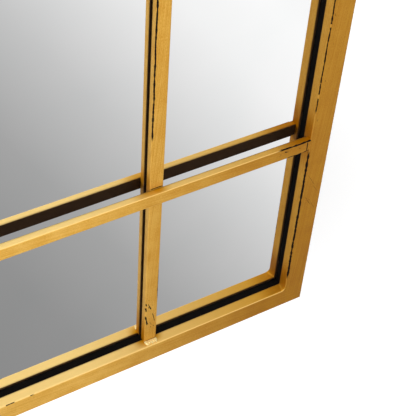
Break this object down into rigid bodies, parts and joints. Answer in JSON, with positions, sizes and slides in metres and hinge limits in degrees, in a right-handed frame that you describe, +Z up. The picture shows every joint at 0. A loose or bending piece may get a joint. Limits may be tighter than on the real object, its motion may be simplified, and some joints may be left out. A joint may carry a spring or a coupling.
{
  "type": "window mirror",
  "caption": "Rectangular wall mirror in a gilt steel window frame: tube border, flat glazing bars crossing over one mirror sheet, clipped backing board and swinging ring hangers.",
  "frame": {"origin": "on the wall plane, behind the middle of the mirror", "axes": "+Z up along the stiles, +Y from the front of the mirror into the wall, +X to the right as seen from the front"},
  "size_m": [0.6, 0.0275, 0.8],
  "materials": {
    "gilt_steel": "brushed gold paint over a black-brown ground, rubbed back along the edges",
    "mirror_glass": "silvered float glass with ground edges",
    "fibreboard": "raw medium density fibreboard, lightly sanded",
    "foam_tape": "black closed-cell foam",
    "zinc_clip": "bright zinc plated sheet steel",
    "zinc_screw": "bright zinc plated",
    "nickel_hanger": "nickel plated steel",
    "bumper_rubber": "matt black rubber"
  },
  "bodies": {
    "mirror": {"left_stile": "gilt_steel", "right_stile": "gilt_steel", "top_rail": "gilt_steel", "bottom_rail": "gilt_steel", "upper_cross_bar": "gilt_steel", "lower_cross_bar": "gilt_steel", "left_upright": "gilt_steel", "right_upright": "gilt_steel", "corner_welds": "gilt_steel", "cross_bar_welds": "gilt_steel", "upright_welds": "gilt_steel", "left_tape": "foam_tape", "right_tape": "foam_tape", "top_tape": "foam_tape", "bottom_tape": "foam_tape", "left_clip_1": "zinc_clip", "left_clip_2": "zinc_clip", "left_clip_3": "zinc_clip", "right_clip_1": "zinc_clip", "right_clip_2": "zinc_clip", "right_clip_3": "zinc_clip", "top_clip_1": "zinc_clip", "top_clip_2": "zinc_clip", "bottom_clip_1": "zinc_clip", "bottom_clip_2": "zinc_clip", "mirror_sheet": "mirror_glass", "backing_board": "fibreboard", "clip_screws": "zinc_screw", "hanger_screws": "zinc_screw", "left_hanger_strap": "nickel_hanger", "right_hanger_strap": "nickel_hanger", "wall_bumpers": "bumper_rubber"},
    "left_ring": {"left_hanger_ring": "nickel_hanger"},
    "right_ring": {"right_hanger_ring": "nickel_hanger"}
  },
  "joints": [
    {"name": "left_ring_swing", "type": "hinge", "parent": "mirror", "child": "left_ring", "pos_m": [-0.21, -0.00367, 0.22], "axis": [1, 0, 0], "range_deg": [0, 177]},
    {"name": "right_ring_swing", "type": "hinge", "parent": "mirror", "child": "right_ring", "pos_m": [0.21, -0.00367, 0.22], "axis": [1, 0, 0], "range_deg": [0, 177]}
  ]
}
